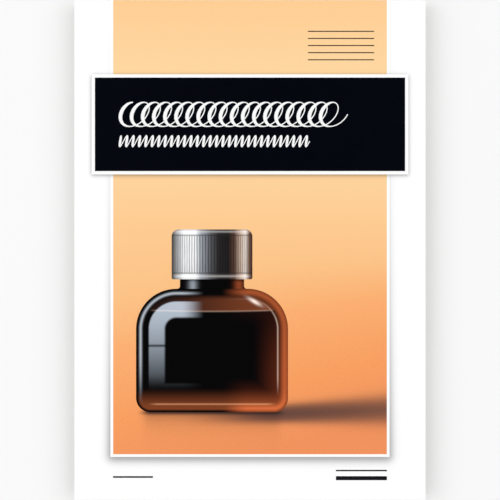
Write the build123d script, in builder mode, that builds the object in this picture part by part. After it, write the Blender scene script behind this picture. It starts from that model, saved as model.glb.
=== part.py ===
# A5 writing pad: one hundred lined sheets, glued at the head to a greyboard back,
# in a printed card cover that folds over the head and turns under the board.
# X runs across the pad, Y towards the glued head, and Z up through the front.
# The origin is at the middle of the base, which lies on the table.

import os

from build123d import *

# Sheets
sheet_width = 148.0
sheet_length = 210.0
sheet_thickness = 0.08
sheet_count = 100

# Ruling of the top sheet
ruling_pitch = 8.0
ruling_line_width = 0.3
ruling_head_space = 26.0
ruling_foot_space = 9.0

# Board, glue and cover card
board_thickness = 1.0
glue_thickness = 0.4
card_thickness = 0.3
strip_length = 25.0  # of the card that is turned under the board
bend_radius = 0.3  # inside the card's bend under the board
fold_gap = 0.1  # from the spine's top edge up to the leaf that turns above it

# Ink, as a film thick enough to be a solid
ink_thickness = 0.05

# Picture field
picture_width = 115.3
picture_foot_margin = 19.3

# Title band
band_width = 130.7
band_height = 39.4
band_head_margin = 32.7
band_border = 1.4  # bare card around the band

# Ink bottle in the picture
bottle_centre = -16.0  # across the pad
bottle_foot_margin = 37.0
bottle_width = 64.0
bottle_height = 52.0
bottle_foot_radius = 6.0
bottle_shoulder_radius = 17.0
neck_width = 27.0
neck_height = 4.0
neck_root_radius = 1.2
cap_width = 34.0
cap_height = 21.0
cap_top_radius = 3.0
cap_rim_radius = 0.8

# Heights, from the table up
board_base = card_thickness
block_base = board_base + board_thickness
ruling_base = block_base + sheet_count * sheet_thickness
leaf_base = ruling_base + ink_thickness
ink_base = leaf_base + card_thickness

# Places along the pad, from the foot to the head
pad_length = sheet_length + glue_thickness + card_thickness
foot_y = -pad_length / 2
sheet_head_y = foot_y + sheet_length
spine_inner_y = sheet_head_y + glue_thickness
fold_y = spine_inner_y + card_thickness / 2
fold_z = leaf_base + card_thickness / 2
head_y = spine_inner_y + card_thickness
sheet_centre_y = foot_y + sheet_length / 2
picture_foot_y = foot_y + picture_foot_margin
band_centre_y = head_y - band_head_margin - band_height / 2
bottle_foot_y = foot_y + bottle_foot_margin
half_width = sheet_width / 2

os.makedirs("parts", exist_ok=True)

# Block of sheets
with BuildPart() as page_block:
    with BuildSketch(Plane.XY.offset(block_base)):
        with Locations((0, sheet_centre_y)):
            Rectangle(sheet_width, sheet_length)
    extrude(amount=sheet_count * sheet_thickness)
page_block.part.label = "page_block"
export_step(page_block.part, "parts/page_block.step")

# Feint lines of the top sheet, from edge to edge
ruled_length = sheet_length - ruling_head_space - ruling_foot_space
line_count = int(ruled_length // ruling_pitch) + 1
first_line_y = sheet_head_y - ruling_head_space
last_line_y = first_line_y - (line_count - 1) * ruling_pitch
with BuildPart() as sheet_ruling_print:
    with BuildSketch(Plane.XY.offset(ruling_base)):
        with Locations((0, (first_line_y + last_line_y) / 2)):
            with GridLocations(0, ruling_pitch, 1, line_count):
                Rectangle(sheet_width, ruling_line_width)
    extrude(amount=ink_thickness)
sheet_ruling_print.part.label = "sheet_ruling_print"
export_step(sheet_ruling_print.part, "parts/sheet_ruling_print.step")

# Greyboard back, trimmed with the sheets
with BuildPart() as backing_board:
    with BuildSketch(Plane.XY.offset(board_base)):
        with Locations((0, sheet_centre_y)):
            Rectangle(sheet_width, sheet_length)
    extrude(amount=board_thickness)
backing_board.part.label = "backing_board"
export_step(backing_board.part, "parts/backing_board.step")

# Glue film over the head of the board and the sheets, rounded into the card's bend
with BuildPart() as padding_glue:
    with BuildSketch(Plane.YZ) as glue_section:
        with Locations((sheet_head_y + glue_thickness / 2, (board_base + ruling_base) / 2)):
            Rectangle(glue_thickness, ruling_base - board_base)
        glue_foot = glue_section.vertices().group_by(Axis.Y)[0]
        fillet(glue_foot.sort_by(Axis.X)[-1], radius=min(bend_radius, 0.9 * glue_thickness))
    extrude(amount=half_width, both=True)
padding_glue.part.label = "padding_glue"
export_step(padding_glue.part, "parts/padding_glue.step")

# Spine of the cover card, bent under the board and glued to its back
spine_top_z = leaf_base - fold_gap
strip_end_y = head_y - strip_length
with BuildPart() as cover_spine:
    with BuildSketch(Plane.YZ):
        with BuildLine():
            FilletPolyline(
                (fold_y, spine_top_z),
                (fold_y, card_thickness / 2),
                (strip_end_y, card_thickness / 2),
                radius=bend_radius + card_thickness / 2,
            )
        trace(line_width=card_thickness)
    extrude(amount=half_width, both=True)
cover_spine.part.label = "cover_spine"
export_step(cover_spine.part, "parts/cover_spine.step")

# Front leaf of the cover card, its edge at the head rounded about the fold
with BuildPart() as front_cover:
    with BuildSketch(Plane.YZ):
        with BuildLine():
            Line((fold_y, ink_base), (foot_y, ink_base))
            Line((foot_y, ink_base), (foot_y, leaf_base))
            Line((foot_y, leaf_base), (fold_y, leaf_base))
            CenterArc((fold_y, fold_z), card_thickness / 2, -90, 180)
        make_face()
    extrude(amount=half_width, both=True)
front_cover.part.label = "front_cover"
export_step(front_cover.part, "parts/front_cover.step")

# Title band
with BuildPart() as title_band_print:
    with BuildSketch(Plane.XY.offset(ink_base)):
        with Locations((0, band_centre_y)):
            Rectangle(band_width, band_height)
    extrude(amount=ink_thickness)
title_band_print.part.label = "title_band_print"
export_step(title_band_print.part, "parts/title_band_print.step")

# Dark glass of the ink bottle: body, shoulders and neck
bottle_plane = Plane((bottle_centre, bottle_foot_y, ink_base))
with BuildPart() as motif_dark_print:
    with BuildSketch(bottle_plane) as bottle_outline:
        with Locations((0, bottle_height / 2)):
            Rectangle(bottle_width, bottle_height)
        fillet(bottle_outline.vertices().group_by(Axis.Y)[0], radius=bottle_foot_radius)
        fillet(bottle_outline.vertices().group_by(Axis.Y)[-1], radius=bottle_shoulder_radius)
        with Locations((0, bottle_height + neck_height / 2)):
            Rectangle(neck_width, neck_height)
        neck_root = bottle_outline.vertices().group_by(Axis.Y)[-2].sort_by(Axis.X)[1:3]
        fillet(neck_root, radius=neck_root_radius)
    extrude(amount=ink_thickness)
motif_dark_print.part.label = "motif_dark_print"
export_step(motif_dark_print.part, "parts/motif_dark_print.step")

# Silver cap of the ink bottle
cap_plane = Plane((bottle_centre, bottle_foot_y + bottle_height + neck_height, ink_base))
with BuildPart() as motif_silver_print:
    with BuildSketch(cap_plane) as cap_outline:
        with Locations((0, cap_height / 2)):
            Rectangle(cap_width, cap_height)
        fillet(cap_outline.vertices().group_by(Axis.Y)[0], radius=cap_rim_radius)
        fillet(cap_outline.vertices().group_by(Axis.Y)[-1], radius=cap_top_radius)
    extrude(amount=ink_thickness)
motif_silver_print.part.label = "motif_silver_print"
export_step(motif_silver_print.part, "parts/motif_silver_print.step")

# Picture field: it bleeds off at the fold, and stops short of the band and the motif
with BuildPart() as picture_print:
    with BuildSketch(Plane.XY.offset(ink_base)):
        with Locations((0, (picture_foot_y + fold_y) / 2)):
            Rectangle(picture_width, fold_y - picture_foot_y)
        with Locations((0, band_centre_y)):
            Rectangle(
                band_width + 2 * band_border,
                band_height + 2 * band_border,
                mode=Mode.SUBTRACT,
            )
    extrude(amount=ink_thickness)
    add(motif_dark_print.part, mode=Mode.SUBTRACT)
    add(motif_silver_print.part, mode=Mode.SUBTRACT)
picture_print.part.label = "picture_print"
export_step(picture_print.part, "parts/picture_print.step")

# The picture's colour carried over the fold and down the spine, as far as its bend
spine_print_base = bend_radius + card_thickness
with BuildPart() as spine_print:
    with BuildSketch(Plane.XZ.offset(-head_y)):
        with Locations((0, (spine_print_base + spine_top_z) / 2)):
            Rectangle(picture_width, spine_top_z - spine_print_base)
    extrude(amount=-ink_thickness)
spine_print.part.label = "spine_print"
export_step(spine_print.part, "parts/spine_print.step")
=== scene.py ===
import math

import bpy
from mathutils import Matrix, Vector


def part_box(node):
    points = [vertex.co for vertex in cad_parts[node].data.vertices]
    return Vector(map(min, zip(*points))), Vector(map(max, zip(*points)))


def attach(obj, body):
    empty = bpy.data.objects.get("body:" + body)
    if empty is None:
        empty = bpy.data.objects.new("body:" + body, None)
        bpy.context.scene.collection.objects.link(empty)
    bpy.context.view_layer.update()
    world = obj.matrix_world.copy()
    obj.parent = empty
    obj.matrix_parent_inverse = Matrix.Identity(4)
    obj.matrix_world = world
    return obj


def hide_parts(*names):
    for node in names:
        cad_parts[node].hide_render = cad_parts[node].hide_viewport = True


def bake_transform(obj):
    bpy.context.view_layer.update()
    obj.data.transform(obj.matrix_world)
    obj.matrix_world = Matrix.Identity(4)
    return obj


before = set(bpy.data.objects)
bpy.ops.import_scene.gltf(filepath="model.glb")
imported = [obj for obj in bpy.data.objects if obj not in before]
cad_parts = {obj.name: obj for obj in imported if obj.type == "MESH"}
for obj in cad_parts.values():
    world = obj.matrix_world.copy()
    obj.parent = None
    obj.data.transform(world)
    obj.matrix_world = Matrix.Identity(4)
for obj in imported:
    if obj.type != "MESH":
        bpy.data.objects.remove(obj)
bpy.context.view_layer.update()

mm = 0.001

# Where the CAD says things are
leafLow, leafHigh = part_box("front_cover")
spineLow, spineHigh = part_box("cover_spine")
blockLow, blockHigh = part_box("page_block")
bandLow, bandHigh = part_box("title_band_print")
pictureLow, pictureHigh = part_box("picture_print")
glassLow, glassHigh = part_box("motif_dark_print")
capLow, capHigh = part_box("motif_silver_print")
rulingLow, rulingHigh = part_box("sheet_ruling_print")
cardThickness = leafHigh.z - leafLow.z
footY = leafLow.y
headY = spineHigh.y
foldY = headY - cardThickness / 2
foldZ = leafLow.z + cardThickness / 2
bottleMiddle = (glassLow.x + glassHigh.x) / 2
bottleHalf = (glassHigh.x - glassLow.x) / 2

# Bare card left as a white line around the band and the picture
keyline = {"band": 1.4 * mm, "picture": 1.15 * mm}
bandSide = bandHigh.x + keyline["band"]
bandTop = bandHigh.y + keyline["band"]
bandFoot = bandLow.y - keyline["band"]
pictureSide = pictureHigh.x + keyline["picture"]
pictureFoot = pictureLow.y - keyline["picture"]
print("frame loaded")


# A number that varies over a surface or along a shape, so that node maths reads as sums

class Field:
    def __init__(self, tree, socket):
        self.tree = tree
        self.socket = socket

    def calc(self, operation, *others, swap=False):
        node = self.tree.nodes.new("ShaderNodeMath")
        node.operation = operation
        values = [self, *others]
        if swap:
            values.reverse()
        for index, value in enumerate(values):
            feed(self.tree, value, node.inputs[index])
        return Field(self.tree, node.outputs[0])

    def __add__(self, other):
        return self.calc("ADD", other)

    __radd__ = __add__

    def __sub__(self, other):
        return self.calc("SUBTRACT", other)

    def __rsub__(self, other):
        return self.calc("SUBTRACT", other, swap=True)

    def __mul__(self, other):
        return self.calc("MULTIPLY", other)

    __rmul__ = __mul__

    def __truediv__(self, other):
        return self.calc("DIVIDE", other)

    def __rtruediv__(self, other):
        return self.calc("DIVIDE", other, swap=True)

    def __neg__(self):
        return self.calc("MULTIPLY", -1.0)

    def __abs__(self):
        return self.calc("ABSOLUTE")

    def __pow__(self, other):
        return self.calc("POWER", other)


def feed(tree, value, socket):
    if isinstance(value, Field):
        tree.links.new(value.socket, socket)
    elif isinstance(value, bpy.types.NodeSocket):
        tree.links.new(value, socket)
    else:
        socket.default_value = value


def axes(tree, vector):
    node = tree.nodes.new("ShaderNodeSeparateXYZ")
    tree.links.new(vector, node.inputs[0])
    return [Field(tree, output) for output in node.outputs]


def smallest(a, b):
    return a.calc("MINIMUM", b)


def largest(a, b):
    return a.calc("MAXIMUM", b)


def clamped(field):
    return smallest(largest(field, 0.0), 1.0)


# 1 where a is more than b, and 0 elsewhere
def isOver(a, b):
    return a.calc("GREATER_THAN", b)


def isUnder(a, b):
    return a.calc("LESS_THAN", b)


# 0 below low, 1 above high, and an S between them; low may be the larger
def ramp(field, low, high):
    node = field.tree.nodes.new("ShaderNodeMapRange")
    node.interpolation_type = "SMOOTHSTEP"
    feed(field.tree, field, node.inputs["Value"])
    node.inputs["From Min"].default_value = min(low, high)
    node.inputs["From Max"].default_value = max(low, high)
    rising = Field(field.tree, node.outputs["Result"])
    return rising if low < high else 1.0 - rising


# A soft ridge, 1 at its centre
def bell(field, centre, width):
    away = (field - centre) / width
    return (-(away * away)).calc("EXPONENT")


def logistic(field):
    return 1.0 / (1.0 + (-field).calc("EXPONENT"))


blurSlope = 1.702  # brings a logistic curve closest to a step with a Gaussian blur


# A step at a distance of 0, blurred with a standard deviation of soft
def softStep(distance, soft):
    return logistic(distance * (blurSlope / soft))


# 1 inside a box that is centred across the pad, and 0 outside it
def insideBox(x, y, halfX, low, high):
    return isUnder(abs(x), halfX) * isOver(y, low) * isUnder(y, high)


# Distance to a box with rounded corners, negative inside
def roundedBox(x, y, centreX, centreY, halfX, halfY, radius):
    overX = abs(x - centreX) - (halfX - radius)
    overY = abs(y - centreY) - (halfY - radius)
    outside = (largest(overX, 0.0) ** 2.0 + largest(overY, 0.0) ** 2.0).calc("SQRT")
    inside = smallest(largest(overX, overY), 0.0)
    return outside + inside - radius


# From a colour as a screen shows it
def linear(red, green, blue):
    def channel(value):
        value /= 255
        return value / 12.92 if value <= 0.04045 else ((value + 0.055) / 1.055) ** 2.4

    return (channel(red), channel(green), channel(blue), 1.0)


# A material as it is made: patterns stand on Object coordinates
class Finish:
    def __init__(self, name, look):
        self.look = look
        self.material = bpy.data.materials.new(name)
        self.material.use_nodes = True
        self.tree = self.material.node_tree
        self.shader = self.tree.nodes["Principled BSDF"]
        self.shader.inputs["Roughness"].default_value = look["roughness"]
        self.shader.inputs["Specular IOR Level"].default_value = look["specular"]
        self.place = self.tree.nodes.new("ShaderNodeTexCoord").outputs["Object"]

    def axes(self):
        return axes(self.tree, self.place)

    def noise(self, size, detail=2.0, stretch=(1, 1, 1), roughness=0.5):
        mapping = self.tree.nodes.new("ShaderNodeMapping")
        mapping.inputs["Scale"].default_value = stretch
        self.tree.links.new(self.place, mapping.inputs["Vector"])
        node = self.tree.nodes.new("ShaderNodeTexNoise")
        node.inputs["Scale"].default_value = 1 / size
        node.inputs["Detail"].default_value = detail
        node.inputs["Roughness"].default_value = roughness
        self.tree.links.new(mapping.outputs[0], node.inputs["Vector"])
        return Field(self.tree, node.outputs[0])

    # The cover card's own grain and mottle, which the ink on it shares
    def grain(self):
        return self.noise(cardLook["grainSize"], detail=3)

    def mottle(self):
        return self.noise(cardLook["mottleSize"], detail=3)

    def mix(self, factor, first, second, how="MIX"):
        node = self.tree.nodes.new("ShaderNodeMix")
        node.data_type = "RGBA"
        node.blend_type = how
        feed(self.tree, factor, node.inputs[0])
        feed(self.tree, first, node.inputs[6])
        feed(self.tree, second, node.inputs[7])
        return node.outputs[2]

    # Light of a colour, added to what is under it
    def lit(self, under, amount, colour):
        return self.mix(amount, under, linear(*colour), "ADD")

    def grey(self, tone):
        node = self.tree.nodes.new("ShaderNodeCombineColor")
        for index in range(3):
            feed(self.tree, tone, node.inputs[index])
        return node.outputs[0]

    # A colour made lighter and darker from place to place
    def toned(self, colour, tone):
        return self.mix(1.0, colour, self.grey(tone), "MULTIPLY")

    def gradient(self, field, stops):
        node = self.tree.nodes.new("ShaderNodeValToRGB")
        elements = node.color_ramp.elements
        while len(elements) < len(stops):
            elements.new(1.0)
        for element, (place, colour) in zip(elements, stops):
            element.position = place
            element.color = inked(*colour)
        feed(self.tree, field, node.inputs[0])
        return node.outputs[0]

    def paint(self, colour):
        self.tree.links.new(colour, self.shader.inputs["Base Color"])

    def gloss(self, roughness):
        feed(self.tree, roughness, self.shader.inputs["Roughness"])

    def relief(self, height, distance):
        node = self.tree.nodes.new("ShaderNodeBump")
        node.inputs["Distance"].default_value = distance
        feed(self.tree, height, node.inputs["Height"])
        self.tree.links.new(node.outputs[0], self.shader.inputs["Normal"])

    # Ink's gloss strays a little, and the card's grain shows through it
    def inkSurface(self, stray, grain):
        self.gloss((stray - 0.5) * cardLook["inkGloss"] + self.look["roughness"])
        self.relief(grain, cardLook["relief"])


# A geometry node tree with named inputs, run on an empty mesh
class NodeTree:
    def __init__(self, name, numbers, material):
        self.tree = bpy.data.node_groups.new(name, "GeometryNodeTree")
        self.numbers = numbers
        self.material = material
        face = self.tree.interface
        face.new_socket("Geometry", in_out="OUTPUT", socket_type="NodeSocketGeometry")
        for label, value in numbers.items():
            kind = "NodeSocketInt" if isinstance(value, int) else "NodeSocketFloat"
            face.new_socket(label, in_out="INPUT", socket_type=kind)
        self.group = self.tree.nodes.new("NodeGroupInput")
        self.last = self.tree.nodes.new("NodeGroupOutput")

    def number(self, label):
        return Field(self.tree, self.group.outputs[label])

    def add(self, kind, **settings):
        node = self.tree.nodes.new(kind)
        for key, value in settings.items():
            setattr(node, key, value)
        return node

    def wire(self, node, **values):
        sockets = {s.name.replace(" ", ""): s for s in reversed(node.inputs) if s.enabled}
        for label, value in values.items():
            feed(self.tree, value, sockets[label])

    def vector(self, x, y, z):
        node = self.add("ShaderNodeCombineXYZ")
        for index, value in enumerate((x, y, z)):
            feed(self.tree, value, node.inputs[index])
        return node.outputs[0]

    # Ends the tree, and gives back what it makes as a plain mesh
    def mesh(self, geometry):
        realize = self.add("GeometryNodeRealizeInstances")
        paint = self.add("GeometryNodeSetMaterial")
        paint.inputs["Material"].default_value = self.material
        self.tree.links.new(geometry, realize.inputs[0])
        self.tree.links.new(realize.outputs[0], paint.inputs["Geometry"])
        self.tree.links.new(paint.outputs[0], self.last.inputs[0])
        holder = addObject("holder", bpy.data.meshes.new("holder"))
        modifier = holder.modifiers.new("nodes", "NODES")
        modifier.node_group = self.tree
        for item in self.tree.interface.items_tree:
            if item.in_out == "INPUT":
                modifier[item.identifier] = self.numbers[item.name]
        evaluated = holder.evaluated_get(bpy.context.evaluated_depsgraph_get())
        made = bpy.data.meshes.new_from_object(evaluated)
        made.materials.clear()  # leaves every face on the one slot
        made.materials.append(self.material)
        bpy.data.objects.remove(holder)
        return made


def addObject(name, data):
    made = bpy.data.objects.new(name, data)
    bpy.context.collection.objects.link(made)
    return made


def evenly(low, high, count):
    return [low + (high - low) * i / count for i in range(count + 1)]


# Printed soft shadows around the band and the picture, as a factor on the colour

printShadow = {
    "depth": 0.415,  # how much darker the print is at its darkest, as the eye sees it
    "eyeGamma": 2.2,  # from what the eye sees to what the ink reflects
    "bandSoftness": 0.84 * mm,
    "bandDrop": 0.4 * mm,
    "pictureSoftness": 1.68 * mm,
    "pictureDrop": 1.5 * mm,
    "pictureSpread": 0.42 * mm,  # past the picture's white line on each side
    "pictureTaper": 0.0207,  # the picture's shadow narrows towards the head
    "taperStart": 42.1 * mm,  # above the foot edge
}


def asInk(shadow):
    return (1.0 - shadow * printShadow["depth"]) ** printShadow["eyeGamma"]


def bandShade(x, y):
    soft, drop = printShadow["bandSoftness"], printShadow["bandDrop"]
    across = softStep(x + bandSide, soft) - softStep(x - bandSide, soft)
    along = softStep(y - (bandFoot - drop), soft) - softStep(y - (bandTop - drop), soft)
    return asInk(across * along)


def pictureShade(x, y):
    soft, drop = printShadow["pictureSoftness"], printShadow["pictureDrop"]
    inset = (y - (footY + printShadow["taperStart"])) * printShadow["pictureTaper"]
    side = pictureSide + printShadow["pictureSpread"] - inset
    return asInk(softStep(side - abs(x), soft) * softStep(y - (pictureFoot - drop), soft))


# Finishes of the cover card: coated outside, bare inside and at its cut edges

cardLook = {
    "white": 0.94,  # what the bare card reflects, and what ink on it can reach
    "roughness": 0.42,
    "specular": 0.3,
    "grainSize": 0.35 * mm,
    "grainGloss": 0.08,  # how far the grain moves the roughness
    "mottleSize": 6 * mm,
    "mottleTone": 0.012,
    "mottleGloss": 0.12,
    "inkGloss": 0.1,  # how far an ink's roughness strays
    "pastHead": 1.0,  # the picture has no end there, also when the cover has turned
    "relief": 0.006 * mm,
}

bareLook = {
    "insideTint": (231, 227, 217),
    "edgeTint": (246, 244, 238),
    "roughness": 0.85,
    "specular": 0.2,
    "fibreSize": 0.5 * mm,
    "fibreTone": 0.07,
    "fibreStretch": (1, 0.35, 1),  # the fibres run along the pad
    "cloudSize": 9 * mm,
    "cloudTone": 0.03,
    "relief": 0.02 * mm,
}


# An ink's colour as it prints, darkened by the card under it
def inked(red, green, blue):
    return tuple(channel * cardLook["white"] for channel in linear(red, green, blue)[:3]) + (1.0,)


def coatedCard():
    card = Finish("coatedCard", cardLook)
    x, y, z = card.axes()
    inBand = insideBox(x, y, bandSide, bandFoot, bandTop)
    inPicture = insideBox(x, y, pictureSide, pictureFoot, cardLook["pastHead"])
    underPicture = pictureShade(x, y) * (1.0 - inPicture) + inPicture
    printed = bandShade(x, y) * underPicture * (1.0 - inBand) + inBand
    front = isOver(z, leafLow.z)
    printed = printed * front + (1.0 - front)
    mottle = card.mottle()
    white = (mottle - 0.5) * cardLook["mottleTone"] + cardLook["white"]
    card.paint(card.grey(white * printed))
    grain = card.grain()
    gloss = (mottle - 0.5) * cardLook["mottleGloss"] + (grain - 0.5) * cardLook["grainGloss"]
    card.gloss(gloss + cardLook["roughness"])
    card.relief(grain, cardLook["relief"])
    return card.material


def bareCard(name, tint):
    card = Finish(name, bareLook)
    fibres = card.noise(bareLook["fibreSize"], detail=4, stretch=bareLook["fibreStretch"])
    cloud = card.noise(bareLook["cloudSize"])
    tone = (fibres - 0.5) * bareLook["fibreTone"] + (cloud - 0.5) * bareLook["cloudTone"]
    card.paint(card.toned(linear(*tint), tone + 1.0))
    card.relief(fibres, bareLook["relief"])
    return card.material


# The folded card: one sheet from the foot edge over the head to the strip under the board

fold = {
    "headRadius": 0.25 * mm,  # at the middle of the card's thickness
    "bendRadius": 0.45 * mm,
    "arcSteps": 10,
    "leafSteps": 36,
    "fineLength": 0.8 * mm,  # of closer rows on each side of the fold
    "fineSteps": 10,
    "spineSteps": 8,
    "columns": 20,
    "underLength": 8.0 * mm,  # from the head to the join in the strip under the board
    "stripSteps": 4,
    "blendBefore": 0.1 * mm,
    "blendAfter": 0.225 * mm,
}
spineFoot = cardThickness / 2 + fold["bendRadius"]


# Rows along an arc, as (y, z, outward y, outward z)
def arcRows(centreY, centreZ, radius, first, last):
    rows = []
    for angle in evenly(math.radians(first), math.radians(last), fold["arcSteps"]):
        outY, outZ = math.cos(angle), math.sin(angle)
        rows.append((centreY + radius * outY, centreZ + radius * outZ, outY, outZ))
    return rows


# Such rows along the middle of the card, as far as the join under the board
def cardRows():
    arcStart = foldY - fold["headRadius"]
    spineTop = foldZ - fold["headRadius"]
    fineStart = arcStart - fold["fineLength"]
    fineEnd = spineTop - fold["fineLength"]
    along = evenly(footY, fineStart, fold["leafSteps"])[:-1]
    along += evenly(fineStart, arcStart, fold["fineSteps"])[:-1]
    down = evenly(spineTop, fineEnd, fold["fineSteps"])[1:-1]
    down += evenly(fineEnd, spineFoot, fold["spineSteps"])[:-1]
    rows = [(y, foldZ, 0.0, 1.0) for y in along]
    rows += arcRows(arcStart, spineTop, fold["headRadius"], 90, 0)
    rows += [(foldY, z, 1.0, 0.0) for z in down]
    rows += arcRows(foldY - fold["bendRadius"], spineFoot, fold["bendRadius"], 0, -90)
    rows.append((headY - fold["underLength"], cardThickness / 2, 0.0, -1.0))
    return rows


# The rest of the strip, which stays behind when the cover turns
def stripRows():
    ys = evenly(headY - fold["underLength"], spineLow.y, fold["stripSteps"])
    return [(y, cardThickness / 2, 0.0, -1.0) for y in ys]


# A closed sheet along the rows, from under to over their line
def sheetMesh(name, rows, xs, under, over, materials):
    vertices = []
    for y, z, outY, outZ in rows:
        for side in (over, under):
            vertices += [(x, y + outY * side, z + outZ * side) for x in xs]
    width = len(xs)
    faces = []
    kinds = []  # 0 outer face, 1 inner face, 2 cut edge

    def at(row, side, column):
        return (row * 2 + side) * width + column

    for r in range(len(rows) - 1):
        for c in range(width - 1):
            faces.append((at(r, 0, c), at(r, 0, c + 1), at(r + 1, 0, c + 1), at(r + 1, 0, c)))
            faces.append((at(r, 1, c), at(r + 1, 1, c), at(r + 1, 1, c + 1), at(r, 1, c + 1)))
            kinds += [0, 1]
        for c, turn in ((0, False), (width - 1, True)):
            edge = [at(r, 0, c), at(r + 1, 0, c), at(r + 1, 1, c), at(r, 1, c)]
            faces.append(edge[::-1] if turn else edge)
            kinds.append(2)
    for r, turn in ((0, True), (len(rows) - 1, False)):
        for c in range(width - 1):
            edge = [at(r, 0, c), at(r, 0, c + 1), at(r, 1, c + 1), at(r, 1, c)]
            faces.append(edge[::-1] if turn else edge)
            kinds.append(2)
    mesh = bpy.data.meshes.new(name)
    mesh.from_pydata(vertices, [], faces)
    for material in materials:
        mesh.materials.append(material)
    if len(materials) > 1:
        mesh.polygons.foreach_set("material_index", kinds)
    mesh.update()
    return mesh


# Bakes the piece's place into its mesh
def acrossFold(piece):
    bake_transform(piece)


def makeCard():
    half = cardThickness / 2
    xs = evenly(leafLow.x, leafHigh.x, fold["columns"])
    inside = bareCard("cardInside", bareLook["insideTint"])
    edge = bareCard("cardEdge", bareLook["edgeTint"])
    materials = [coatedCard(), inside, edge]
    pieces = []
    for name, rows in (("cover_card", cardRows()), ("cover_strip", stripRows())):
        pieces.append(addObject(name, sheetMesh(name, rows, xs, -half, half, materials)))
    card, strip = pieces
    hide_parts("front_cover", "cover_spine")
    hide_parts("cover_spine")
    acrossFold(card)
    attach(strip, "pad")


makeCard()
print("cover card folded")

# The picture: a warm backdrop that goes from peach at the head to orange at the foot

picture = {
    "filmThickness": 0.012 * mm,
    "columns": 16,
    "stops": [  # share of the way down from the head, colour
        (0.0, (253, 204, 145)),
        (0.14, (253, 212, 157)),
        (0.4, (253, 209, 153)),
        (0.6, (251, 193, 132)),
        (0.7, (250, 174, 110)),
        (0.86, (247, 156, 92)),
        (1.0, (240, 144, 88)),
    ],
    "lean": 0.22,  # the right side darkens sooner by this share of x
    "leanFrom": (0.45, 0.75),  # where that sets in, and where it is full
    "grainSize": 0.8 * mm,
    "grainFrom": (0.5, 0.85),  # where the surface's grain sets in, and where it is full
    "grainHead": 0.012,  # how far it shows before that
    "grainFoot": 0.2,  # and after
    "shadowTint": (92, 59, 49),
    "shadowDepth": 0.98,  # beside the bottle
    "shadowFade": 0.12,  # and how much of that is lost to the right
    "shadowEnd": 40 * mm,  # past the picture's side, where all of that is lost
    "shadowFrom": (14 * mm, 6 * mm),  # it sets in this far inside the bottle's left and right sides
    "shadowDrop": 0.5 * mm,  # its middle, below the bottle's foot
    "shadowRise": 5.2 * mm,  # its half height at the bottle
    "shadowSpread": 0.05,  # how it widens to the right
    "shadowClimb": 0.035,  # and how it rises
    "shadowCore": 0.75,  # share of its half height at which it is half as dark
    "shadowEdge": 6.5,  # how sharp its edges are at the bottle
    "shadowSoftening": 45.0,  # lost from that for each metre to the right
    "mirrorTint": (74, 34, 26),
    "mirrorDepth": 0.62,
    "mirrorLength": 4.4 * mm,  # over which the reflection under the bottle fades
    "mirrorInset": 3.4 * mm,  # of its sides, from the bottle's
    "mirrorSoftness": 0.9 * mm,
    "mirrorStart": 2 * mm,  # above the bottle's foot
    "contactTint": (26, 12, 10),
    "contactDepth": 0.85,
    "contactDrop": 0.2 * mm,
    "contactWidth": 0.9 * mm,
    "contactFrom": (32 * mm, 26 * mm),  # from the bottle's middle, where it sets in and is full
}


# How much of the bottle's cast shadow falls on the surface at a place
def bottleShadow(x, y):
    fromLeft, fromRight = picture["shadowFrom"]
    run = largest(x - glassHigh.x, 0.0)
    middle = run * picture["shadowClimb"] + (glassLow.y - picture["shadowDrop"])
    half = run * picture["shadowSpread"] + picture["shadowRise"]
    edge = run * -picture["shadowSoftening"] + picture["shadowEdge"]
    cast = logistic((picture["shadowCore"] - abs(y - middle) / half) * edge)
    cast = cast * ramp(x, glassLow.x + fromLeft, glassHigh.x - fromRight)
    far = ramp(x, glassHigh.x, pictureHigh.x + picture["shadowEnd"])
    return clamped(cast * (1.0 - far * picture["shadowFade"]) * picture["shadowDepth"])


# How much the surface mirrors the bottle, below its foot
def bottleMirror(x, y):
    under = glassLow.y - y
    half = bottleHalf - picture["mirrorInset"]
    inside = logistic((half - abs(x - bottleMiddle)) / picture["mirrorSoftness"])
    fade = (-largest(under, 0.0) / picture["mirrorLength"]).calc("EXPONENT")
    return inside * fade * ramp(under, -picture["mirrorStart"], 0.0) * picture["mirrorDepth"]


# The dark line where the bottle stands
def bottleContact(x, y):
    line = bell(y, glassLow.y - picture["contactDrop"], picture["contactWidth"])
    ends = ramp(abs(x - bottleMiddle), *picture["contactFrom"])
    return line * ends * picture["contactDepth"]


def pictureInk():
    film = Finish("pictureInk", cardLook)
    x, y = film.axes()[:2]
    height = headY - pictureLow.y
    down = (headY - y) / height
    lean = x / height * picture["lean"] * ramp(down, *picture["leanFrom"])
    colour = film.gradient(down + lean, picture["stops"])
    colour = film.mix(bottleShadow(x, y), colour, linear(*picture["shadowTint"]))
    colour = film.mix(bottleMirror(x, y), colour, linear(*picture["mirrorTint"]))
    colour = film.mix(bottleContact(x, y), colour, linear(*picture["contactTint"]))
    grain = film.noise(picture["grainSize"], detail=4, roughness=0.7)
    rise = picture["grainFoot"] - picture["grainHead"]
    strength = ramp(down, *picture["grainFrom"]) * rise + picture["grainHead"]
    tone = ((grain - 0.5) * strength + 1.0) * bandShade(x, y)
    film.paint(film.toned(colour, tone))
    film.inkSurface(film.mottle(), film.grain())
    return film.material


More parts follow.
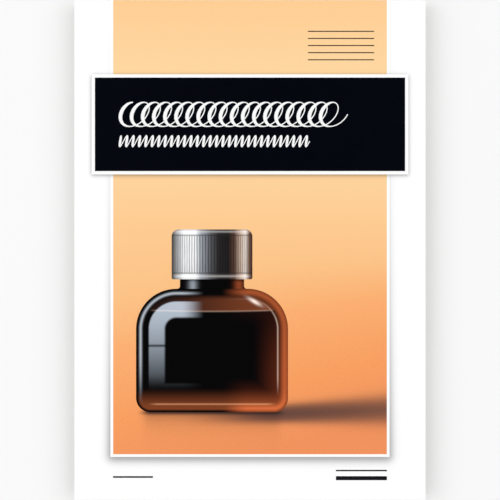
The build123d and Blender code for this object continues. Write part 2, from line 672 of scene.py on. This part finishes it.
def makePicture():
    outside = cardThickness / 2
    xs = evenly(pictureLow.x, pictureHigh.x, picture["columns"])
    tiny = 1e-9  # against rounding at the last row
    rows = cardRows()
    upper = [(bandTop, foldZ, 0.0, 1.0)]
    upper += [row for row in rows if row[0] > bandTop and row[1] >= spineFoot - tiny]
    lower = [(pictureLow.y, foldZ, 0.0, 1.0)]
    lower += [row for row in rows if pictureLow.y < row[0] < bandFoot and row[3] == 1.0]
    lower.append((bandFoot, foldZ, 0.0, 1.0))
    materials = [pictureInk()]
    pieces = []
    for name, path in (("picture_upper", upper), ("picture_lower", lower)):
        mesh = sheetMesh(name, path, xs, outside, outside + picture["filmThickness"], materials)
        piece = addObject(name, mesh)
        pieces.append(piece)
    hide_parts("picture_print", "spine_print")
    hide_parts("picture_print")
    acrossFold(pieces[0])
    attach(pieces[1], "cover")


makePicture()
print("picture printed")

# The sheets: separate leaves, flush at the glued head and a little fanned below it

stack = {
    "leafCount": 100,
    "leafThickness": 0.074 * mm,
    "leafColumns": 9,
    "leafRows": 13,
    "shuffle": 0.035 * mm,  # how far one leaf's foot strays by itself
    "bundle": 0.16 * mm,  # and how far those of neighbouring leaves stray together
    "bundleRate": 0.17,  # changes of bundle for each leaf
    "headShare": 0.4,  # of the sideways stray, at the glued head
    "wave": 0.05 * mm,  # how far the leaves bow between the board and the top
    "waveRate": 14.0,  # waves for each metre
    "seed": 11,
    "seedStep": 7.3,  # between two seeds in the noise that moves the bundles
}

paperLook = {
    "tint": (254, 254, 251),
    "tone": 0.88,
    "roughness": 0.88,
    "specular": 0.2,
    "fibreSize": 0.4 * mm,
    "fibreTone": 0.03,
    "cloudSize": 4 * mm,
    "cloudTone": 0.02,
    "edgeSize": 0.16 * mm,  # of the lines that the leaves make on the block's sides: their own tone from leaf to leaf, and painted shade in the gaps between them
    "edgeStretch": (0.004, 0.004, 1),
    "edgeTone": 0.3,
    "edgeShade": 0.1,  # painted shade of the gaps between the leaves: how much darker the sides are than the top sheet
    "topFrom": (blockHigh.z - 0.02 * mm, blockHigh.z - 0.01 * mm),  # where the sides end
    "relief": 0.01 * mm,
    "rulingPitch": 8.0 * mm,
    "nextSheet": 0.55 * mm,  # from the top sheet's lines to the next one's, showing through
    "nextTint": (150, 176, 204),
    "nextShow": 0.07,
    "nextWidth": 0.03,  # of the pitch
}


# The next sheet's lines, seen through the top one
def nextLines(y):
    steps = (y - rulingHigh.y + paperLook["nextSheet"]) / paperLook["rulingPitch"]
    line = bell((steps + 0.5).calc("FRACT"), 0.5, paperLook["nextWidth"])
    return line * isUnder(y, rulingHigh.y + mm) * isOver(y, rulingLow.y - mm)


def sheetPaper():
    paper = Finish("sheetPaper", paperLook)
    x, y, z = paper.axes()
    fibres = paper.noise(paperLook["fibreSize"], detail=4)
    leaves = paper.noise(paperLook["edgeSize"], detail=1, stretch=paperLook["edgeStretch"])
    clouds = paper.noise(paperLook["cloudSize"], detail=3)
    top = ramp(z, *paperLook["topFrom"])
    # The block's sides are darker than the top sheet and lined: painted shade of the gaps between
    # the leaves
    edge = (leaves - 0.5) * paperLook["edgeTone"] - paperLook["edgeShade"]
    tone = (fibres - 0.5) * paperLook["fibreTone"] + (clouds - 0.5) * paperLook["cloudTone"]
    tone = tone + edge * (1.0 - top) + paperLook["tone"]
    tint = paper.toned(linear(*paperLook["tint"]), tone)
    showing = nextLines(y) * top * paperLook["nextShow"]
    paper.paint(paper.mix(showing, tint, linear(*paperLook["nextTint"])))
    paper.relief(fibres, paperLook["relief"])
    return paper.material


# How far each leaf's foot has strayed, across and along the pad
def leafStray(nodes):
    shuffle, bundle = nodes.number("shuffle"), nodes.number("bundle")
    alone = nodes.add("FunctionNodeRandomValue", data_type="FLOAT_VECTOR")
    low, high = nodes.vector(-shuffle, -shuffle, 0.0), nodes.vector(shuffle, shuffle, 0.0)
    nodes.wire(alone, Min=low, Max=high, Seed=nodes.number("seed"))
    index = Field(nodes.tree, nodes.add("GeometryNodeInputIndex").outputs[0])
    together = nodes.add("ShaderNodeTexNoise")
    spot = nodes.vector(index, nodes.number("seed") * stack["seedStep"], 0.0)
    nodes.wire(together, Vector=spot, Scale=stack["bundleRate"])
    aloneX, aloneY = axes(nodes.tree, alone.outputs[0])[:2]
    bundleX, bundleY = axes(nodes.tree, together.outputs["Color"])[:2]
    x = aloneX + (bundleX - 0.5) * bundle
    y = aloneY + (bundleY - 0.5) * bundle
    return nodes.vector(x, y, 0.0)


def makeStack():
    size = blockHigh - blockLow
    labels = ("leafCount", "leafThickness", "shuffle", "bundle", "wave", "seed")
    numbers = {label: stack[label] for label in labels}
    numbers["pitch"] = size.z / stack["leafCount"]
    nodes = NodeTree("pageStack", numbers, sheetPaper())
    pitch = nodes.number("pitch")
    most = nodes.number("shuffle") + nodes.number("bundle") * 0.5
    line = nodes.add("GeometryNodeMeshLine")
    middleY = most * 0.5 + (blockLow.y + blockHigh.y) / 2
    first = nodes.vector(0.0, middleY, pitch * 0.5 + blockLow.z)
    step = nodes.vector(0.0, 0.0, pitch)
    nodes.wire(line, Count=nodes.number("leafCount"), StartLocation=first, Offset=step)
    strays = nodes.add("GeometryNodeCaptureAttribute")
    strays.capture_items.new("VECTOR", "Stray")
    nodes.wire(strays, Geometry=line.outputs[0], Stray=leafStray(nodes))
    leaf = nodes.add("GeometryNodeMeshCube")
    leafSize = nodes.vector(size.x - most * 2.0, size.y - most, nodes.number("leafThickness"))
    nodes.wire(leaf, Size=leafSize, VerticesX=stack["leafColumns"], VerticesY=stack["leafRows"])
    leaves = nodes.add("GeometryNodeInstanceOnPoints")
    nodes.wire(leaves, Points=strays.outputs[0], Instance=leaf.outputs[0])
    solid = nodes.add("GeometryNodeRealizeInstances")
    nodes.wire(solid, Geometry=leaves.outputs[0])

    # The leaves turn about the head, and bow a little between the board and the top
    where = nodes.add("GeometryNodeInputPosition").outputs[0]
    y, z = axes(nodes.tree, where)[1:]
    fromHead = (blockHigh.y - y) / size.y
    height = clamped((z - blockLow.z) / size.z)
    strayX, strayY = axes(nodes.tree, strays.outputs["Stray"])[:2]
    strayX = strayX * (fromHead * (1.0 - stack["headShare"]) + stack["headShare"])
    bow = nodes.add("ShaderNodeTexNoise")
    nodes.wire(bow, Vector=where, Scale=stack["waveRate"])
    lift = (Field(nodes.tree, bow.outputs[0]) - 0.5) * nodes.number("wave")
    lift = lift * height * (1.0 - height) * 8.0  # the whole wave at half height
    settled = nodes.add("GeometryNodeSetPosition")
    offset = nodes.vector(strayX, strayY * fromHead, lift)
    nodes.wire(settled, Geometry=solid.outputs[0], Offset=offset)
    piece = addObject("page_stack", nodes.mesh(settled.outputs[0]))
    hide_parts("page_block")
    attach(piece, "pad")


makeStack()
print("sheets stacked")

# Board, glue and feint lines keep their CAD shapes

boardLook = {
    "tint": (158, 151, 140),
    "roughness": 0.92,
    "specular": 0.15,
    "fibreSize": 0.9 * mm,
    "fibreStretch": (1, 0.3, 2.5),
    "fibreTone": 0.5,
    "plySize": 0.25 * mm,  # of the layers that the cut edges show
    "plyStretch": (0.02, 0.02, 1),
    "plyTone": 0.25,
    "fleckSize": 0.35 * mm,
    "flecks": [  # colour, where in the noise it sets in and is full, and how much it covers
        ((84, 78, 72), (0.66, 0.74), 0.6),
        ((206, 200, 190), (0.36, 0.28), 0.5),
    ],
    "fleckRelief": 0.5,  # beside the fibres'
    "relief": 0.06 * mm,
}

glueLook = {
    "tint": (240, 236, 222),
    "roughness": 0.38,
    "specular": 0.45,
    "strokeSize": 0.8 * mm,
    "strokeStretch": (0.25, 1, 1),  # brushed on across the pad
    "strokeTone": 0.12,
    "tone": 0.9,
    "depth": 0.25,  # share of the light that goes under the surface
    "reach": (0.6 * mm, 0.5 * mm, 0.4 * mm),
    "relief": 0.05 * mm,
}

feintLook = {
    "full": (118, 149, 190),
    "thin": (164, 187, 214),  # where the paper takes less ink
    "roughness": 0.8,
    "specular": 0.2,
    "coverSize": 0.25 * mm,
    "coverFrom": (0.3, 0.75),  # where in the noise the ink thins, and where it is thinnest
    "coverDepth": 0.5,
}


def greyboard():
    board = Finish("greyboard", boardLook)
    stretch = boardLook["fibreStretch"]
    fibres = board.noise(boardLook["fibreSize"], detail=5, stretch=stretch, roughness=0.7)
    flecks = board.noise(boardLook["fleckSize"])
    plies = board.noise(boardLook["plySize"], stretch=boardLook["plyStretch"])
    tone = (fibres - 0.5) * boardLook["fibreTone"] + (plies - 0.5) * boardLook["plyTone"] + 1.0
    tint = board.toned(linear(*boardLook["tint"]), tone)
    for colour, places, cover in boardLook["flecks"]:
        tint = board.mix(ramp(flecks, *places) * cover, tint, linear(*colour))
    board.paint(tint)
    board.relief(fibres + flecks * boardLook["fleckRelief"], boardLook["relief"])
    return board.material


def headGlue():
    glue = Finish("headGlue", glueLook)
    strokes = glue.noise(glueLook["strokeSize"], detail=3, stretch=glueLook["strokeStretch"])
    tone = (strokes - 0.5) * glueLook["strokeTone"] + glueLook["tone"]
    glue.paint(glue.toned(linear(*glueLook["tint"]), tone))
    glue.shader.inputs["Subsurface Weight"].default_value = glueLook["depth"]
    glue.shader.inputs["Subsurface Radius"].default_value = glueLook["reach"]
    glue.relief(strokes, glueLook["relief"])
    return glue.material


def feintInk():
    feint = Finish("feintInk", feintLook)
    cover = feint.noise(feintLook["coverSize"], detail=3)
    thin = ramp(cover, *feintLook["coverFrom"]) * feintLook["coverDepth"]
    feint.paint(feint.mix(thin, linear(*feintLook["full"]), linear(*feintLook["thin"])))
    return feint.material


def paintNode(name, material):
    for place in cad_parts[name].material_slots:
        place.material = material


paintNode("backing_board", greyboard())
paintNode("padding_glue", headGlue())
paintNode("sheet_ruling_print", feintInk())
print("board, glue and ruling finished")

# The title band, with a penman's drill of ovals and slanted strokes reversed out of the black

band = {
    "black": (2, 4, 12),
    "blackTone": 0.3,  # how far its mottle strays
    "roughness": 0.36,
    "specular": 0.03,
    "lineTone": 0.01,
    "ovals": {
        "loops": 19,
        "left": -57.5 * mm,
        "right": 43.0 * mm,
        "middleDrop": 48.2 * mm,  # below the head edge
        "height": 10.2 * mm,
        "reach": 4.5 * mm,  # half an oval's width
        "hairline": 0.45 * mm,
        "downstroke": 1.6 * mm,
    },
    "strokes": {
        "loops": 30,
        "left": -56.2 * mm,
        "right": 26.0 * mm,
        "middleDrop": 59.5 * mm,
        "height": 4.8 * mm,
        "reach": 0.0,
        "hairline": 0.4 * mm,
        "downstroke": 1.05 * mm,
    },
    "slant": 0.36,  # sideways for each step up
    "stepsPerLoop": 24,
    "lineRelief": 0.02,  # a line's height, as a share of its width
}


def bandInk():
    film = Finish("bandInk", band)
    mottle = film.mottle()
    film.paint(film.toned(inked(*band["black"]), (mottle - 0.5) * band["blackTone"] + 1.0))
    film.inkSurface(mottle, film.grain())
    return film.material


def reversedOut():
    bare = Finish("reversedOut", cardLook)
    bare.paint(bare.grey((bare.grain() - 0.5) * band["lineTone"] + cardLook["white"]))
    return bare.material


# A running line that loops as it travels, thick where the pen comes down
def penLine(name, sizes, material):
    numbers = {**sizes, "slant": band["slant"]}
    nodes = NodeTree(name, numbers, material)
    loops, slant = nodes.number("loops"), nodes.number("slant")
    left, right = nodes.number("left"), nodes.number("right")
    reach = nodes.number("reach")
    count = loops * band["stepsPerLoop"]
    line = nodes.add("GeometryNodeMeshLine")
    nodes.wire(line, Count=count + 1.0)
    path = nodes.add("GeometryNodeMeshToCurve")
    nodes.wire(path, Mesh=line.outputs[0])
    share = Field(nodes.tree, nodes.add("GeometryNodeInputIndex").outputs[0]) / count
    quarter = math.pi / 2  # so that the pen comes down first, from the top
    angle = share * (loops * math.tau - quarter) + quarter
    rise = nodes.number("height") * 0.5
    y = angle.calc("SINE") * rise
    margin = reach + slant * rise
    x = left + margin + (right - left - margin * 2.0) * share
    x = x + angle.calc("COSINE") * reach + y * slant
    place = nodes.add("GeometryNodeSetPosition")
    spot = nodes.vector(x, y + (headY - nodes.number("middleDrop")), bandHigh.z)
    nodes.wire(place, Geometry=path.outputs[0], Position=spot)
    pressure = clamped(-angle.calc("COSINE"))
    hairline = nodes.number("hairline")
    width = hairline + (nodes.number("downstroke") - hairline) * pressure
    facing = nodes.add("GeometryNodeSetCurveNormal", mode="Z_UP")
    nodes.wire(facing, Curve=place.outputs[0])
    nib = nodes.add("GeometryNodeCurvePrimitiveQuadrilateral")
    nodes.wire(nib, Width=1.0, Height=band["lineRelief"])
    sweep = nodes.add("GeometryNodeCurveToMesh")
    nodes.wire(sweep, Curve=facing.outputs[0], ProfileCurve=nib.outputs[0])
    nodes.wire(sweep, Scale=width, FillCaps=True)
    piece = addObject(name, nodes.mesh(sweep.outputs[0]))
    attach(piece, "cover")


paintNode("title_band_print", bandInk())
whiteLine = reversedOut()
penLine("drill_ovals", band["ovals"], whiteLine)
penLine("drill_strokes", band["strokes"], whiteLine)
print("band printed")

# The ink bottle: dark glass lit by a window at the left, the warm surface mirrored in it

bottle = {
    "footRadius": 6 * mm,
    "shoulderRadius": 17 * mm,
    "neckHeight": 4 * mm,
    "neckHalf": 13.5 * mm,
    "inkLevel": 9.5 * mm,  # below the top of the shoulders
    "inkClimb": 0.7 * mm,  # of its surface at the sides
    "roughness": 0.36,
    "specular": 0.04,
    "grainTone": 0.12,
    "ink": (4, 3, 4),
    "through": ((46, 27, 22), (128, 66, 38)),  # above the ink, at the left and at the right
    "throughFrom": (-0.7, 0.75),  # where across the bottle the one turns into the other
    "throughLevel": (-0.15, 0.25),  # mm over the ink, where it sets in and where it is full
    "throughWall": (2.2, 5.0),  # and mm into the glass
    "throughShare": 0.8,
    "leftFrom": (-0.1, -0.42),  # where each side's lights set in and are full, in half widths
    "rightFrom": (0.12, 0.5),
    "barLift": 2 * mm,  # the window's glazing bar, above the middle of the body
    "barWidth": 0.55 * mm,
    "barDepth": 0.85,
    "lampSide": 0.56,  # the lamp's place, in half widths
    "lampDrop": 5.4 * mm,  # and below the top of the shoulders
    "lampAxis": (0.86, -0.5),  # the way in which its oval is long
    "capShade": (4, 3, 3),
    "capShadeDepth": 0.7,
    "capShadeLength": 1.6 * mm,
}
shoulderY = glassHigh.y - bottle["neckHeight"]
bodyY = (glassLow.y + shoulderY) / 2

# Lights in the glass: how strong, the colour, the parts they fall on, then lines as (measure,
# middle, width) and fades as (measure, where it sets in, where it is full). Lengths are in mm:
# depth inwards from the outline, rise from the foot, overInk, lampAlong and lampAcross. The
# others are shares: side and out of the half width, up of the body's height, and turn of the
# neck's half width
bottleLights = {
    "inkLine": (0.22, (255, 214, 190), [], [("overInk", 0.0, 0.3)], [("depth", 3.0, 6.0)]),
    "window": (
        0.86,
        (196, 208, 222),
        ["left", "besideBar"],
        [],
        [("depth", 5.0, 5.8), ("depth", 12.6, 11.4), ("up", 0.08, 0.95), ("up", 0.16, 0.32)],
    ),
    "rim": (0.66, (214, 222, 232), ["left"], [("depth", 1.9, 0.55)], [("up", 0.04, 0.5)]),
    "warmEdge": (0.5, (222, 112, 62), ["right"], [("depth", 1.4, 1.5)], []),
    "warmGlow": (0.2, (190, 84, 46), ["right"], [], [("depth", 15.0, 0.0), ("up", 1.05, 0.2)]),
    "sideLine": (
        0.42,
        (255, 226, 204),
        ["right"],
        [("depth", 4.3, 0.3)],
        [("up", 0.12, 0.3), ("up", 0.98, 0.7)],
    ),
    "foot": (0.3, (226, 118, 66), [], [], [("up", 0.2, 0.0), ("depth", 0.4, 1.6)]),
    "footLine": (0.34, (255, 190, 140), [], [("rise", 3.4, 0.35)], [("out", 0.86, 0.7)]),
    "lamp": (
        0.9,
        (255, 246, 236),
        ["body"],
        [("lampAlong", 0.0, 2.8), ("lampAcross", 0.0, 0.75)],
        [],
    ),
    "neckWindow": (0.45, (205, 214, 226), ["neck"], [("turn", -0.6, 0.12)], []),
    "neckWarm": (0.4, (206, 100, 56), ["neck"], [("turn", 0.84, 0.14)], []),
}


# Where on the bottle a place is, in the measures that its lights are given in
def bottleMeasures(x, y):
    halfY = (shoulderY - glassLow.y) / 2
    upper = isOver(y, bodyY)
    radius = upper * (bottle["shoulderRadius"] - bottle["footRadius"]) + bottle["footRadius"]
    side = (x - bottleMiddle) / bottleHalf
    inkY = side * side * bottle["inkClimb"] + (shoulderY - bottle["inkLevel"])
    lampX = x - (bottleMiddle + bottleHalf * bottle["lampSide"])
    lampY = y - (shoulderY - bottle["lampDrop"])
    axisX, axisY = bottle["lampAxis"]
    return {
        "depth": roundedBox(x, y, bottleMiddle, bodyY, bottleHalf, halfY, radius) / -mm,
        "rise": (y - glassLow.y) / mm,
        "overInk": (y - inkY) / mm,
        "lampAlong": (lampX * axisX + lampY * axisY) / mm,
        "lampAcross": (lampY * axisX - lampX * axisY) / mm,
        "side": side,
        "out": abs(side),
        "up": (y - glassLow.y) / (2 * halfY),
        "turn": (x - bottleMiddle) / bottle["neckHalf"],
    }


# The parts that its lights fall on, each 1 where it is and 0 elsewhere
def bottleRegions(y, side):
    body = isUnder(y, shoulderY)
    bar = bell(y, bodyY + bottle["barLift"], bottle["barWidth"])
    return {
        "body": body,
        "neck": 1.0 - body,
        "left": ramp(side, *bottle["leftFrom"]) * body,
        "right": ramp(side, *bottle["rightFrom"]) * body,
        "besideBar": 1.0 - bar * bottle["barDepth"],
    }


def glassInk():
    glass = Finish("glassInk", bottle)
    x, y = glass.axes()[:2]
    measures = bottleMeasures(x, y)
    regions = bottleRegions(y, measures["side"])

    # Above the ink the glass lets some of the backdrop through
    empty = ramp(measures["overInk"], *bottle["throughLevel"]) * regions["body"]
    empty = empty * ramp(measures["depth"], *bottle["throughWall"]) * bottle["throughShare"]
    left, right = [linear(*colour) for colour in bottle["through"]]
    through = glass.mix(ramp(measures["side"], *bottle["throughFrom"]), left, right)
    colour = glass.mix(empty, linear(*bottle["ink"]), through)
    for strength, tint, parts, lines, fades in bottleLights.values():
        factors = [regions[part] for part in parts]
        factors += [bell(measures[name], *line) for name, *line in lines]
        factors += [ramp(measures[name], *fade) for name, *fade in fades]
        colour = glass.lit(colour, math.prod(factors, start=strength), tint)
    underCap = ramp(y, glassHigh.y - bottle["capShadeLength"], glassHigh.y)
    underCap = underCap * bottle["capShadeDepth"]
    colour = glass.mix(underCap, colour, linear(*bottle["capShade"]))
    grain = glass.grain()
    tone = (grain - 0.5) * bottle["grainTone"] + cardLook["white"]
    glass.paint(glass.toned(colour, tone))
    glass.inkSurface(grain, grain)
    return glass.material


# The silver cap: bright and dark bands of the room, and a knurled grip

cap = {
    "bands": [  # share of the way across, colour
        (0.0, (46, 40, 38)),
        (0.04, (140, 138, 138)),
        (0.1, (200, 202, 205)),
        (0.15, (252, 253, 254)),
        (0.29, (252, 253, 254)),
        (0.36, (160, 166, 174)),
        (0.48, (84, 85, 90)),
        (0.58, (30, 26, 27)),
        (0.7, (14, 9, 9)),
        (0.78, (88, 58, 46)),
        (0.86, (206, 180, 162)),
        (0.91, (238, 226, 216)),
        (0.96, (120, 84, 68)),
        (1.0, (44, 28, 24)),
    ],
    "roughness": 0.36,
    "specular": 0.25,
    "streakSize": 1.2 * mm,
    "streakStretch": (1, 0.12, 1),  # the bands waver a little along the cap
    "streakShift": 0.012,
    "ridges": 44,  # around the half that is seen
    "ridgeDepth": 0.66,
    "ridgeEnd": 0.3 * mm,  # over which the ridges run out
    "rimHeight": 2.6 * mm,
    "crownHeight": 2.4 * mm,
    "groove": (30, 24, 24),
    "grooveWidth": 0.22 * mm,
    "grooveDepth": 0.8,
    "gleam": (255, 250, 246),
    "gleamStrength": 0.3,
    "rimGleam": (capLow.y + 1.3 * mm, 0.5 * mm),  # its place up the cap, and its width
    "crownGleam": (capHigh.y - 0.9 * mm, 0.45 * mm),
    "gleamFrom": (0.5, 0.42),  # share of the cap's width from its middle, for none and for all
    "footDim": 0.14,  # how much darker the cap is at its foot
    "crownDim": 0.25,  # and at its top
    "grainTone": 0.05,
}


def silverInk():
    silver = Finish("silverInk", cap)
    x, y = silver.axes()[:2]
    rimTop = capLow.y + cap["rimHeight"]
    crownFoot = capHigh.y - cap["crownHeight"]
    across = (x - capLow.x) / (capHigh.x - capLow.x)
    up = (y - capLow.y) / (capHigh.y - capLow.y)
    streak = silver.noise(cap["streakSize"], detail=3, stretch=cap["streakStretch"])
    across = across + (streak - 0.5) * cap["streakShift"]
    colour = silver.gradient(across, cap["bands"])
    turn = ((across - 0.5) * 1.98).calc("ARCSINE")  # short of 2, so that it stays defined
    dip = 0.5 - (turn * cap["ridges"] * 2.0).calc("SINE") * 0.5
    grip = ramp(y, rimTop, rimTop + cap["ridgeEnd"])
    grip = grip * ramp(y, crownFoot, crownFoot - cap["ridgeEnd"])
    colour = silver.toned(colour, 1.0 - grip * dip ** 2.0 * cap["ridgeDepth"])
    groove = bell(y, rimTop, cap["grooveWidth"]) + bell(y, crownFoot, cap["grooveWidth"])
    groove = clamped(groove) * cap["grooveDepth"]
    colour = silver.mix(groove, colour, linear(*cap["groove"]))
    gleam = bell(y, *cap["rimGleam"]) + bell(y, *cap["crownGleam"])
    gleam = gleam * cap["gleamStrength"] * ramp(abs(across - 0.5), *cap["gleamFrom"])
    colour = silver.lit(colour, gleam, cap["gleam"])
    dim = 1.0 - ramp(up, 0.5, 0.0) * cap["footDim"] - ramp(up, 0.9, 1.0) * cap["crownDim"]
    grain = silver.grain()
    silver.paint(silver.toned(colour, dim * ((grain - 0.5) * cap["grainTone"] + 1.0)))
    silver.inkSurface(grain, grain)
    return silver.material


paintNode("motif_dark_print", glassInk())
paintNode("motif_silver_print", silverInk())
print("bottle printed")

# Printed rules: a sample of the ruling at the head, and three at the foot

rules = {
    "ink": (14, 14, 20),
    "inkTone": 0.4,  # how far its grain strays
    "roughness": 0.4,
    "specular": 0.1,
    "relief": 0.004 * mm,
    "inkThickness": 0.03 * mm,
    "corner": 0.12,  # of a rule's thickness
    "cornerSteps": 3,
    "rows": [  # name, how many, then left, right, drop below the head, pitch, thickness in mm
        ("rule_sample", 5, 24.4, 52.3, 13.2, 3.0, 0.42),
        ("rule_foot_left", 1, -57.7, -40.9, 201.0, 1.0, 0.7),
        ("rule_foot_thin", 1, 36.2, 57.7, 198.3, 1.0, 0.6),
        ("rule_foot_thick", 1, 36.2, 57.7, 201.5, 1.0, 1.7),
    ],
}


def ruleInk():
    line = Finish("ruleInk", rules)
    grain = line.grain()
    line.paint(line.toned(linear(*rules["ink"]), (grain - 0.5) * rules["inkTone"] + 1.0))
    line.relief(grain, rules["relief"])
    return line.material


# A rule is a bar with rounded corners, as deep as its ink
def makeRules(name, count, left, right, drop, pitch, thickness, material):
    numbers = {
        "count": count,
        "length": (right - left) * mm,
        "pitch": pitch * mm,
        "thickness": thickness * mm,
        "corner": thickness * rules["corner"] * mm,
        "inkThickness": rules["inkThickness"],
    }
    nodes = NodeTree(name, numbers, material)
    line = nodes.add("GeometryNodeMeshLine")
    start = nodes.vector((left + right) / 2 * mm, headY - drop * mm, leafHigh.z)
    step = nodes.vector(0.0, -nodes.number("pitch"), 0.0)
    nodes.wire(line, Count=nodes.number("count"), StartLocation=start, Offset=step)
    outline = nodes.add("GeometryNodeCurvePrimitiveQuadrilateral")
    nodes.wire(outline, Width=nodes.number("length"), Height=nodes.number("thickness"))
    rounded = nodes.add("GeometryNodeFilletCurve", mode="POLY")
    corner = nodes.number("corner")
    nodes.wire(rounded, Curve=outline.outputs[0], Count=rules["cornerSteps"], Radius=corner)
    riser = nodes.add("GeometryNodeCurvePrimitiveLine")
    nodes.wire(riser, End=nodes.vector(0.0, 0.0, nodes.number("inkThickness")))
    bar = nodes.add("GeometryNodeCurveToMesh")
    nodes.wire(bar, Curve=riser.outputs[0], ProfileCurve=rounded.outputs[0], FillCaps=True)
    copies = nodes.add("GeometryNodeInstanceOnPoints")
    nodes.wire(copies, Points=line.outputs[0], Instance=bar.outputs[0])
    piece = addObject(name, nodes.mesh(copies.outputs[0]))
    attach(piece, "cover")


darkLine = ruleInk()
for row in rules["rows"]:
    makeRules(*row, darkLine)
print("rules printed")

# Stage, light and camera

studio = {
    "floorHalf": 5.0,
    "floorTone": 0.88,
    "floorMottle": (0.2, 0.01),  # size, and how far its tone strays
    "roughness": 0.7,  # the floor's
    "specular": 0.2,
    "lampSize": (0.9, 1.2),
    "lamps": {  # place, and power in watts
        "leftSoftbox": ((-1.0, 0.15, 1.25), 4.6),
        "rightSoftbox": ((1.0, 0.15, 1.25), 3.2),
    },
    "horizon": 0.62,  # the sky's brightness there
    "skyRise": 0.49,  # gained on the way up
    "skyFull": 0.7,  # height at which all of it is
    "overhead": (0.86, 0.97),  # heights between which the sky darkens, to keep gloss off the cover
    "overheadLoss": 0.9,
    "lens": 85.0,
}


def makeStage():
    size = studio["floorHalf"]
    mesh = bpy.data.meshes.new("floor")
    corners = [(-size, -size, 0), (size, -size, 0), (size, size, 0), (-size, size, 0)]
    mesh.from_pydata(corners, [], [(0, 1, 2, 3)])
    paint = Finish("floorPaint", studio)
    mottleSize, stray = studio["floorMottle"]
    paint.paint(paint.grey((paint.noise(mottleSize) - 0.5) * stray + studio["floorTone"]))
    mesh.materials.append(paint.material)
    floor = addObject("floor", mesh)


def makeLamps():
    for name, (place, power) in studio["lamps"].items():
        data = bpy.data.lights.new(name, "AREA")
        data.shape = "RECTANGLE"
        data.size, data.size_y = studio["lampSize"]
        data.energy = power
        lamp = addObject(name, data)
        lamp.location = place
        lamp.rotation_euler = (-Vector(place)).to_track_quat("-Z", "Y").to_euler()


def makeSky():
    world = bpy.data.worlds.new("studio")
    world.use_nodes = True
    tree = world.node_tree
    coordinates = tree.nodes.new("ShaderNodeTexCoord")
    up = axes(tree, coordinates.outputs["Generated"])[2]
    brightness = ramp(up, 0.0, studio["skyFull"]) * studio["skyRise"] + studio["horizon"]
    brightness = brightness * (1.0 - ramp(up, *studio["overhead"]) * studio["overheadLoss"])
    background = tree.nodes["Background"]
    feed(tree, brightness, background.inputs["Strength"])
    background.inputs["Color"].default_value = (1, 1, 1, 1)
    bpy.context.scene.world = world


# Straight above the cover, which fills the frame from foot to head
def makeCamera():
    data = bpy.data.cameras.new("camera")
    data.lens = studio["lens"]
    camera = addObject("camera", data)
    distance = (headY - footY) * data.lens / data.sensor_width
    camera.location = (0, (headY + footY) / 2, leafHigh.z + distance)
    bpy.context.scene.camera = camera


makeStage()
makeLamps()
makeSky()
makeCamera()
bpy.context.scene.view_settings.view_transform = "Standard"
print("studio set")
